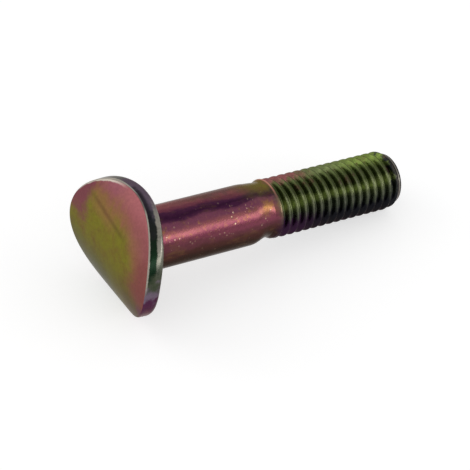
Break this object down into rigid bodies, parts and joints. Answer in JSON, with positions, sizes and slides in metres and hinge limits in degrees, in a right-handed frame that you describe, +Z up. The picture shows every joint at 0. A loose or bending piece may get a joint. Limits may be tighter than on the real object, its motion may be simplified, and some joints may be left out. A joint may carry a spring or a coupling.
{
  "type": "saddle-head screw",
  "caption": "Cold-formed screw with a thin oval head bent to a saddle that sits on a round tube, a plain shank, a necked cone and a rolled thread, in yellow zinc.",
  "frame": {"origin": "on the table that the screw rests on, under the middle of its bounding box", "axes": "+X from the head towards the thread's end, along the table, +Y along the straight side of the saddle, +Z up; the axis of the screw dips 6.4 degrees towards +X"},
  "size_m": [0.0438, 0.0195, 0.0166],
  "materials": {
    "yellow_zinc": "yellow chromate over zinc plate, glossy, with green and magenta tints"
  },
  "bodies": {
    "root": {"saddle_head_screw": "yellow_zinc"}
  },
  "joints": []
}
